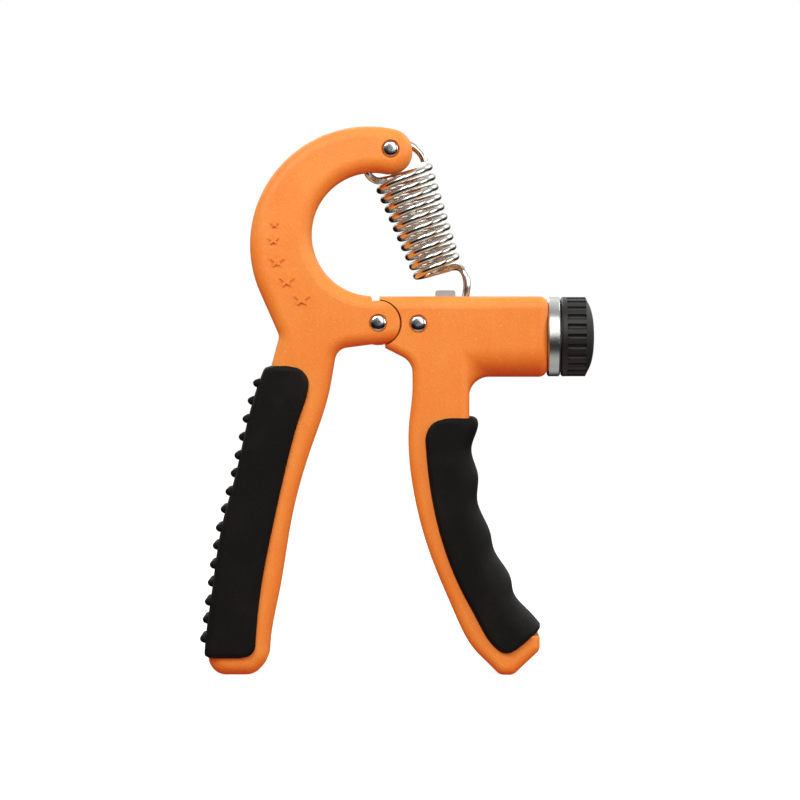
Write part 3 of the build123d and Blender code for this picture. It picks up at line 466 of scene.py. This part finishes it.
def studio_air(studio):
    """Plain white surroundings whose light is bright above and behind, and warm and dim below.

    Bright metal mirrors a dark band on the camera's side and a grey ground."""
    world = bpy.data.worlds.new("studio_air")
    air = Wiring(world)
    _, back, up = air.split(air.node("ShaderNodeTexCoord", out="Generated"))
    rise = air.step(up, -0.10, 0.35)
    side = studio.shade + (1 - studio.shade) * air.step(back, -0.5, 0.5)
    above = studio.above * rise * side
    ground = studio.mirrored * air.step(up, -0.60, -0.92)
    seen = air.node("ShaderNodeLightPath", out="Is Camera Ray")
    glossy = air.node("ShaderNodeLightPath", out="Is Glossy Ray")
    parts = [above + (1 - rise) * amount for amount in studio.below]
    warm = air.node("ShaderNodeCombineColor", {}, dict(enumerate(parts)))
    mirror = above + ground
    grey = air.node("ShaderNodeCombineColor", {}, {0: mirror, 1: mirror, 2: mirror})
    lit = air.blend(glossy, warm, grey)
    shown = air.node("ShaderNodeBackground", {}, {"Color": air.blend(seen, lit, (1, 1, 1)), "Strength": 1.0})
    out = air.tree.nodes.new("ShaderNodeOutputWorld")
    air.tree.links.new(shown.socket, out.inputs[0])
    return world


# ---------------------------------------------------------------- mesh helpers
def smooth_line(points, count):
    """A natural cubic spline through points, at count places evenly spaced along it."""
    points = np.array(points, float)
    reach = np.concatenate([[0], np.cumsum(np.linalg.norm(np.diff(points, axis=0), axis=1))])
    n = len(points)
    h = np.diff(reach)
    system = np.zeros((n, n))
    right = np.zeros((n, points.shape[1]))
    system[0, 0] = system[-1, -1] = 1
    for i in range(1, n - 1):
        system[i, i - 1], system[i, i], system[i, i + 1] = h[i - 1], 2 * (h[i - 1] + h[i]), h[i]
        right[i] = 6 * ((points[i + 1] - points[i]) / h[i] - (points[i] - points[i - 1]) / h[i - 1])
    bend = np.linalg.solve(system, right)
    where = np.linspace(0, reach[-1], count)
    k = np.clip(np.searchsorted(reach, where, side="right") - 1, 0, n - 2)
    a = (reach[k + 1] - where)[:, None]
    b = (where - reach[k])[:, None]
    s = h[k][:, None]
    return (bend[k] * a**3 + bend[k + 1] * b**3) / (6 * s) + (points[k] / s - bend[k] * s / 6) * a + (
        points[k + 1] / s - bend[k + 1] * s / 6) * b


def quarter(distance, radius):
    """Height lost at a distance from an edge that is rounded with a radius."""
    t = np.clip(1 - distance / radius, 0, 1)
    return radius * (1 - np.sqrt(1 - t * t))


def mesh_object(name, points, faces, material):
    """A smooth mesh object in the scene."""
    mesh = bpy.data.meshes.new(name)
    mesh.from_pydata([tuple(p) for p in points], [], faces)
    mesh.materials.append(material)
    mesh.validate()
    mesh.shade_smooth()
    made = bpy.data.objects.new(name, mesh)
    bpy.context.scene.collection.objects.link(made)
    return made


def sleeve(name, palm, outer, edge, sizes, corners, material):
    """A moulded sleeve lofted down a handle, with a seam on both faces and a rounded outer side between.

    palm and outer are matching front-view lines in millimetres; edge gives the outer rounding at each
    station; corners are the rounding of the seam's top and bottom corners."""
    lip = sizes.lip / MM
    face = RUBBER_FACE / MM
    inner = BODY_FACE / MM - TUCKED
    middle = (palm + outer) / 2
    run = np.concatenate([[0], np.cumsum(np.linalg.norm(np.diff(middle, axis=0), axis=1))])
    from_end = np.minimum(run, run[-1] - run)
    width = np.linalg.norm(palm - outer, axis=1)
    inward = (palm - outer) / width[:, None]
    shrink = quarter(from_end, lip)
    palm_at = width - quarter(run, corners[0]) - quarter(run[-1] - run, corners[1]) - shrink * 0.4
    rings = []
    for i in range(len(run)):
        top = face - shrink[i]
        round_by = edge[i]
        flat = np.linspace(0, 1, 12)
        lip_turn = np.linspace(0, math.pi / 2, 8)
        low, high = palm_at[i], palm_at[i] - lip
        front = [(low - lip * (1 - math.cos(a)), inner + (top - inner) * math.sin(a)) for a in lip_turn]
        front += [(high + (round_by - high) * t, top) for t in flat[1:]]
        turn = np.linspace(0, math.pi / 2, 14)[1:]
        front += [(round_by * (1 - math.sin(a)), top - round_by * (1 - math.cos(a))) for a in turn]
        half = top - round_by
        crown = sizes.crown / MM * (1 - shrink[i] / lip)
        spots = np.linspace(half, 0, 9)[1:] if half > 0.01 else []
        across = [(-crown * (1 - (y / half) ** 2), y) for y in spots]
        side = front + across
        mirrored = [(d, -y) for d, y in side[::-1]]
        loop = side + (mirrored[1:] if across else mirrored)
        loop += [(SEAT, -inner), (SEAT, inner)]
        loop = [(d + shrink[i] if d < palm_at[i] - lip else d, y) for d, y in loop]
        rings.append([(outer[i][0] + inward[i][0] * d, -y, outer[i][1] + inward[i][1] * d) for d, y in loop])
    size = len(rings[0])
    points = [at(x, z, y) for ring in rings for x, y, z in ring]
    faces = []
    for i in range(len(rings) - 1):
        for j in range(size):
            k = (j + 1) % size
            faces.append((i * size + j, i * size + k, (i + 1) * size + k, (i + 1) * size + j))
    faces.append(tuple(reversed(range(size))))
    faces.append(tuple(range((len(rings) - 1) * size, len(rings) * size)))
    made = mesh_object(name, points, faces, material)
    fix_normals(made)
    return made


def fix_normals(made):
    """Turn every face outwards."""
    work = bmesh.new()
    work.from_mesh(made.data)
    bmesh.ops.remove_doubles(work, verts=work.verts, dist=1e-7)
    bmesh.ops.recalc_face_normals(work, faces=work.faces)
    work.to_mesh(made.data)
    work.free()
    made.data.shade_smooth()


# ---------------------------------------------------------------- geometry nodes
class NodeSheet:
    """A Geometry Nodes tree with named inputs, and the modifier settings that go with them."""

    def __init__(self, name):
        self.tree = bpy.data.node_groups.new(name, "GeometryNodeTree")
        self.tree.interface.new_socket(name="Geometry", in_out="INPUT", socket_type="NodeSocketGeometry")
        self.tree.interface.new_socket(name="Geometry", in_out="OUTPUT", socket_type="NodeSocketGeometry")
        self.source = self.tree.nodes.new("NodeGroupInput")
        self.sink = self.tree.nodes.new("NodeGroupOutput")
        self.values = {}

    def input(self, name, kind, value):
        socket = self.tree.interface.new_socket(name=name, in_out="INPUT", socket_type=kind)
        self.values[socket.identifier] = value
        return self.source.outputs[name]

    def node(self, kind, settings=None, values=None, out=0):
        made = self.tree.nodes.new(kind)
        for key, value in (settings or {}).items():
            setattr(made, key, value)
        for key, value in (values or {}).items():
            if isinstance(value, bpy.types.NodeSocket):
                self.tree.links.new(value, made.inputs[key])
            else:
                made.inputs[key].default_value = value
        return made.outputs[out]

    def finish(self, geometry, material):
        """Smooth, realise, give the material and end the tree."""
        smooth = self.node("GeometryNodeSetShadeSmooth", {}, {"Geometry": geometry})
        real = self.node("GeometryNodeRealizeInstances", {}, {"Geometry": smooth})
        coat = self.input("Material", "NodeSocketMaterial", material)
        dressed = self.node("GeometryNodeSetMaterial", {}, {"Geometry": real, "Material": coat})
        self.tree.links.new(dressed, self.sink.inputs[0])

    def grow(self, name, base, material):
        """Run the tree on a base object and keep its result as a plain mesh object."""
        modifier = base.modifiers.new(name, "NODES")
        modifier.node_group = self.tree
        for key, value in self.values.items():
            modifier[key] = value
        graph = bpy.context.evaluated_depsgraph_get()
        mesh = bpy.data.meshes.new_from_object(base.evaluated_get(graph), depsgraph=graph)
        base.modifiers.remove(modifier)
        bpy.data.objects.remove(base, do_unlink=True)
        mesh.name = name
        mesh.materials.clear()
        mesh.materials.append(material)
        made = bpy.data.objects.new(name, mesh)
        bpy.context.scene.collection.objects.link(made)
        return made


def path_object(name, points):
    """A poly curve through points, as the base of a tree."""
    curve = bpy.data.curves.new(name, "CURVE")
    curve.dimensions = "3D"
    spline = curve.splines.new("POLY")
    spline.points.add(len(points) - 1)
    for spot, point in zip(spline.points, points):
        spot.co = (*point, 1)
    made = bpy.data.objects.new(name, curve)
    bpy.context.scene.collection.objects.link(made)
    return made


def nub_rows(sizes, line, tilt, material):
    """Staggered rows of rubber nubs down the fixed sleeve's back."""
    sheet = NodeSheet("nub rows")
    rows = sheet.input("Rows", "NodeSocketInt", sizes.nub_rows)
    across = sheet.input("Across", "NodeSocketInt", sizes.nub_across)
    spacing = sheet.input("Spacing", "NodeSocketFloat", sizes.nub_spacing)
    radius = sheet.input("Radius", "NodeSocketFloat", sizes.nub_radius)
    height = sheet.input("Height", "NodeSocketFloat", sizes.nub_height)
    lean = sheet.input("Lean", "NodeSocketFloat", tilt)
    spots = sheet.node("GeometryNodeResampleCurve", {"mode": "COUNT"},
                       {"Curve": sheet.source.outputs[0], "Count": rows})
    index = sheet.node("GeometryNodeInputIndex")
    odd = sheet.node("ShaderNodeMath", {"operation": "MODULO"}, {0: index, 1: 2.0})
    way = sheet.node("ShaderNodeMath", {"operation": "MULTIPLY_ADD"}, {0: odd, 1: 0.5, 2: -0.25})
    shift = sheet.node("ShaderNodeMath", {"operation": "MULTIPLY"}, {0: way, 1: spacing})
    aside = sheet.node("ShaderNodeCombineXYZ", {}, {"Y": shift})
    placed = sheet.node("GeometryNodeSetPosition", {}, {"Geometry": spots, "Offset": aside})
    gaps = sheet.node("ShaderNodeMath", {"operation": "SUBTRACT"}, {0: across, 1: 1.0})
    span = sheet.node("ShaderNodeMath", {"operation": "MULTIPLY"}, {0: gaps, 1: spacing})
    back = sheet.node("ShaderNodeMath", {"operation": "MULTIPLY"}, {0: span, 1: -0.5})
    first = sheet.node("ShaderNodeCombineXYZ", {}, {"Y": back})
    each = sheet.node("ShaderNodeCombineXYZ", {}, {"Y": spacing})
    row = sheet.node("GeometryNodeMeshLine", {"mode": "OFFSET"},
                     {"Count": across, "Start Location": first, "Offset": each})
    grid = sheet.node("GeometryNodeInstanceOnPoints", {}, {"Points": placed, "Instance": row})
    points = sheet.node("GeometryNodeRealizeInstances", {}, {"Geometry": grid})
    ball = sheet.node("GeometryNodeMeshUVSphere", {}, {"Segments": 16, "Rings": 10, "Radius": 1.0})
    scale = sheet.node("ShaderNodeCombineXYZ", {}, {"X": height, "Y": radius, "Z": radius})
    turn = sheet.node("ShaderNodeCombineXYZ", {}, {"Y": lean})
    nubs = sheet.node("GeometryNodeInstanceOnPoints", {},
                      {"Points": points, "Instance": ball, "Scale": scale, "Rotation": turn})
    sheet.finish(nubs, material)
    return sheet.grow("fixed_grip_nubs", path_object("nub line", line), material)


def coil_piece(name, sizes, first, last, material):
    """A stretch of the tapered coil between two shares of its length, placed along the spring's line."""
    top, bottom = at(*SPRING_TOP), at(*SPRING_BOTTOM)
    run = (bottom - top).length
    pitch = run / (sizes.coils - 1)
    down = (bottom - top).normalized()
    left = Vector((down.z, 0, -down.x))
    side = left * math.cos(sizes.start) + Vector((0, 1, 0)) * math.sin(sizes.start)
    turns = sizes.coils + TURNS_OVER - sizes.start / math.tau
    origin = top - down * pitch * (TURNS_ABOVE - sizes.start / math.tau)
    slope = (sizes.top - sizes.bottom) / 2 / run
    start_radius = (sizes.top - sizes.wire) / 2
    height = pitch * turns
    turned = Matrix((side, down.cross(side), down)).transposed()
    sheet = NodeSheet(name + " coils")
    rounds = sheet.input("Turns", "NodeSocketFloat", turns)
    wide = sheet.input("Start radius", "NodeSocketFloat", start_radius)
    narrow = sheet.input("End radius", "NodeSocketFloat", start_radius - slope * height)
    long = sheet.input("Length", "NodeSocketFloat", height)
    wire = sheet.input("Wire radius", "NodeSocketFloat", sizes.wire / 2)
    begin = sheet.input("From", "NodeSocketFloat", first)
    end = sheet.input("To", "NodeSocketFloat", last)
    spiral = sheet.node("GeometryNodeCurveSpiral", {},
                        {"Resolution": 72, "Rotations": rounds, "Start Radius": wide, "End Radius": narrow,
                         "Height": long, "Reverse": True})
    part = sheet.node("GeometryNodeTrimCurve", {"mode": "FACTOR"}, {"Curve": spiral, 2: begin, 3: end})
    ring = sheet.node("GeometryNodeCurvePrimitiveCircle", {}, {"Resolution": 20, "Radius": wire})
    tube = sheet.node("GeometryNodeCurveToMesh", {},
                      {"Curve": part, "Profile Curve": ring, "Fill Caps": True})
    placed = sheet.node("GeometryNodeTransform", {},
                        {"Geometry": tube, "Translation": tuple(origin), "Rotation": turned.to_euler()})
    sheet.finish(placed, material)
    return sheet.grow(name, path_object(name + " base", [(0, 0, 0), (0, 0, 0.001)]), material)


def load_bars(tall, short, material):
    """Graduated bars of the load scale, the tallest first, standing on the points of a line."""
    sheet = NodeSheet("load bars")
    large = sheet.input("Tall", "NodeSocketFloat", tall[1])
    small = sheet.input("Short", "NodeSocketFloat", short[1])
    broad = sheet.input("Broad", "NodeSocketFloat", tall[0])
    thin = sheet.input("Thin", "NodeSocketFloat", short[0])
    share = sheet.node("GeometryNodeSplineParameter", out="Factor")
    high = sheet.node("ShaderNodeMapRange", {}, {"Value": share, "To Min": large, "To Max": small})
    wide = sheet.node("ShaderNodeMapRange", {}, {"Value": share, "To Min": broad, "To Max": thin})
    scale = sheet.node("ShaderNodeCombineXYZ", {}, {"X": wide, "Y": 1.0, "Z": high})
    block = sheet.node("GeometryNodeMeshCube", {}, {"Size": (1.0, 3 * INK, 1.0)})
    bar = sheet.node("GeometryNodeTransform", {}, {"Geometry": block, "Translation": (0.0, 0.0, 0.5)})
    bars = sheet.node("GeometryNodeInstanceOnPoints", {},
                      {"Points": sheet.source.outputs[0], "Instance": bar, "Scale": scale})
    sheet.finish(bars, material)
    return sheet


# ---------------------------------------------------------------- operators
FINISHES = {}


def paint(nodes, material):
    """Give CAD nodes a finish."""
    for name in nodes:
        held = frame["nodes"][name]
        if not held.material_slots:
            held.data.materials.append(material)
        for place in held.material_slots:
            place.material = material


def shared_rubber(colours):
    """The one rubber of both sleeves, made on first use."""
    if "rubber" not in FINISHES:
        FINISHES["rubber"] = rubber(colours)
    return FINISHES["rubber"]


class GRIP_OT_plastic(bpy.types.Operator):
    """Give both moulded handles their orange plastic and the knob its black plastic"""

    bl_idname = "grip.plastic"
    bl_label = "Moulded plastic"

    def execute(self, context):
        colours = context.scene.grip_colours
        paint(["fixed_handle", "movable_handle"], orange_plastic(colours))
        paint(["knob"], knob_plastic(colours))
        return {"FINISHED"}


class GRIP_OT_metalwork(bpy.types.Operator):
    """Finish the rivets, collar, screw, frame and the nylon pieces"""

    bl_idname = "grip.metalwork"
    bl_label = "Metalwork"

    def execute(self, context):
        paint([name for name in frame["nodes"] if "rivet" in name], rivet_nickel())
        paint(["end_collar"], turned_steel())
        paint(["slider_nut", "screw_frame", "adjusting_screw", "retaining_clip", "hook_pin", "hinge_bushing"],
              zinc_plate())
        paint(["hinge_washers", "thrust_washer"], nylon())
        return {"FINISHED"}


class GRIP_OT_fixed_sleeve(bpy.types.Operator):
    """Mould the fixed handle's rubber sleeve and its rows of nubs"""

    bl_idname = "grip.fixed_sleeve"
    bl_label = "Fixed sleeve"

    def execute(self, context):
        sizes = context.scene.grip_rubber
        material = shared_rubber(context.scene.grip_colours)
        stations = 150
        outer = smooth_line([FIXED_TOP, *FIXED_OUTER, FIXED_END], stations)
        palm = smooth_line([FIXED_PALM_TOP, *FIXED_PALM, FIXED_PALM_END], stations)
        edge = np.full(stations, sizes.back_edge / MM)
        body = sleeve("fixed_grip_rubber", palm, outer, edge, sizes, FIXED_CORNERS, material)
        crown = sizes.crown / MM
        heights = np.linspace(NUB_TOP, NUB_FOOT, 60)
        xs = np.interp(-heights, -outer[:, 1], outer[:, 0])
        line = [at(x - crown * 0.7, z) for x, z in zip(xs, heights)]
        nubs = nub_rows(sizes, line, NUB_LEAN, material)
        for piece in (body, nubs):
            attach(piece, "fixed_handle")
        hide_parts("fixed_grip")
        return {"FINISHED"}


class GRIP_OT_finger_sleeve(bpy.types.Operator):
    """Mould the movable handle's rubber sleeve with its finger hollows"""

    bl_idname = "grip.finger_sleeve"
    bl_label = "Finger sleeve"

    def execute(self, context):
        sizes = context.scene.grip_rubber
        material = shared_rubber(context.scene.grip_colours)
        stations = 170
        outer = smooth_line(FINGER_OUTER, stations)
        palm = smooth_line(FINGER_PALM, stations)
        width = np.linalg.norm(palm - outer, axis=1)
        edge = width * sizes.finger_edge
        body = sleeve("movable_grip_rubber", palm, outer, edge, sizes, FINGER_CORNERS, material)
        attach(body, "movable_handle")
        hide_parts("movable_grip")
        return {"FINISHED"}


class GRIP_OT_spring(bpy.types.Operator):
    """Wind the tension spring's coils and finish its loop and hook"""

    bl_idname = "grip.spring"
    bl_label = "Spring"

    def execute(self, context):
        sizes = context.scene.grip_spring
        material = bright_wire()
        paint(["spring_loop", "spring_hook"], material)
        upper = coil_piece("spring_coils_upper", sizes, 0.0, sizes.split, material)
        lower = coil_piece("spring_coils_lower", sizes, sizes.split, 1.0, material)
        top, bottom = at(*SPRING_TOP), at(*SPRING_BOTTOM)
        run = bottom - top
        middle = top + run * sizes.split
        lead = run.normalized() * sizes.wire
        top - lead
        middle - lead
        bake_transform(upper)
        middle + lead
        bottom + lead
        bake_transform(lower)
        for piece in (upper, lower):
            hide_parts("spring_coils")
        return {"FINISHED"}


class GRIP_OT_load_print(bpy.types.Operator):
    """Print the load scale on the barrel's back"""

    bl_idname = "grip.load_print"
    bl_label = "Load print"
    bars = 7

    def execute(self, context):
        material = print_ink(context.scene.grip_colours)
        face = BODY_FACE + INK
        made = [printed(text, at(x, z), height * MM, face, material) for text, x, z, height in LOAD_WORDS]
        sheet = load_bars(TALL_BAR, SHORT_BAR, material)
        shares = [number / (self.bars - 1) for number in range(self.bars)]
        runs = [BARS_RUN * ((1 + BARS_CLOSING) * share - BARS_CLOSING * share**2) for share in shares]
        feet = [at(BARS_FROM - run, BARS_FOOT) for run in runs]
        line = [Vector((foot.x, face, foot.z)) for foot in feet]
        made.append(sheet.grow("load_bars", path_object("bar line", line), material))
        for number, piece in enumerate(made):
            piece.name = f"load_print_{number + 1}"
            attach(piece, "movable_handle")
        return {"FINISHED"}


def printed(text, centre, height, face, material):
    """Raised print on the back face, read from behind."""
    curve = bpy.data.curves.new("print " + text, "FONT")
    curve.body = text
    curve.size = height * 1.4
    curve.align_x, curve.align_y = "CENTER", "CENTER"
    curve.extrude = INK
    curve.resolution_u = 6
    words = bpy.data.objects.new("print " + text, curve)
    bpy.context.scene.collection.objects.link(words)
    graph = bpy.context.evaluated_depsgraph_get()
    mesh = bpy.data.meshes.new_from_object(words.evaluated_get(graph), depsgraph=graph)
    bpy.data.objects.remove(words, do_unlink=True)
    upright = Matrix.Rotation(math.pi, 4, "Z") @ Matrix.Rotation(math.pi / 2, 4, "X")
    mesh.transform(Matrix.Translation((centre.x, face, centre.z)) @ upright)
    mesh.materials.clear()
    mesh.materials.append(material)
    made = bpy.data.objects.new("print_" + text, mesh)
    bpy.context.scene.collection.objects.link(made)
    return made


class GRIP_OT_studio(bpy.types.Operator):
    """Lay the pale floor, hang the soft lights and set the camera"""

    bl_idname = "grip.studio"
    bl_label = "Studio"

    def execute(self, context):
        studio = context.scene.grip_studio
        scene = context.scene
        scene.view_settings.view_transform = "Standard"
        low, high = (Vector(c) for c in CAD_BOX)
        centre = (low + high) / 2
        reach = 4.0
        corners = [(-reach, -reach, 0), (reach, -reach, 0), (reach, reach, 0), (-reach, reach, 0)]
        floor = mesh_object("studio_floor", corners, [(0, 1, 2, 3)], pale_floor(studio))
        floor.visible_diffuse = False
        floor.visible_glossy = False
        lights = [("key", (-0.50, -0.75, 0.75), 0.5, studio.key),
                  ("front", (0.30, -1.1, 0.30), 0.5, studio.fill * 0.3),
                  ("high", (0.25, -0.90, 0.80), 0.7, studio.fill * 0.65),
                  ("side", (0.85, -0.30, 0.25), 0.5, studio.side),
                  ("rim", (0.7, 0.5, 0.6), 0.4, studio.key * 0.3),
                  ("back", (-0.4, 0.9, 0.7), 0.8, studio.key * 0.6)]
        for name, spot, size, power in lights:
            lamp = bpy.data.lights.new("studio_" + name, "AREA")
            lamp.size = size
            lamp.energy = power
            held = bpy.data.objects.new("studio_" + name, lamp)
            held.location = centre + Vector(spot)
            held.rotation_euler = (centre - held.location).to_track_quat("-Z", "Y").to_euler()
            scene.collection.objects.link(held)
        scene.world = studio_air(studio)
        eye = bpy.data.cameras.new("studio_camera")
        eye.lens = studio.lens
        eye.clip_start, eye.clip_end = 0.01, 20
        camera = bpy.data.objects.new("studio_camera", eye)
        camera.location = centre + Vector((0, -studio.distance, studio.height))
        camera.rotation_euler = (centre - camera.location).to_track_quat("-Z", "Y").to_euler()
        scene.collection.objects.link(camera)
        scene.camera = camera
        return {"FINISHED"}


class VIEW3D_PT_grip(bpy.types.Panel):
    """Sizes, colours and steps of the hand grip strengthener"""

    bl_label = "Hand grip strengthener"
    bl_space_type = "VIEW_3D"
    bl_region_type = "UI"
    bl_category = "Grip"

    def draw(self, context):
        layout = self.layout
        for name in GROUPS:
            group = getattr(context.scene, name)
            box = layout.box()
            for key in type(group).__annotations__:
                box.prop(group, key)
        for step in STEPS:
            layout.operator(step.bl_idname)


STEPS = (GRIP_OT_plastic, GRIP_OT_metalwork, GRIP_OT_fixed_sleeve, GRIP_OT_finger_sleeve, GRIP_OT_spring,
         GRIP_OT_load_print, GRIP_OT_studio)
GROUPS = {"grip_rubber": RubberSizes, "grip_spring": SpringSizes, "grip_colours": Colours,
          "grip_studio": StudioSizes}


def register():
    for kind in (*GROUPS.values(), *STEPS, VIEW3D_PT_grip):
        bpy.utils.register_class(kind)
    for name, kind in GROUPS.items():
        setattr(bpy.types.Scene, name, PointerProperty(type=kind))


def unregister():
    for name in GROUPS:
        delattr(bpy.types.Scene, name)
    for kind in reversed((*GROUPS.values(), *STEPS, VIEW3D_PT_grip)):
        bpy.utils.unregister_class(kind)


def main():
    register()
    for step in STEPS:
        family, action = step.bl_idname.split(".")
        getattr(getattr(bpy.ops, family), action)()


if __name__ == "__main__":
    main()
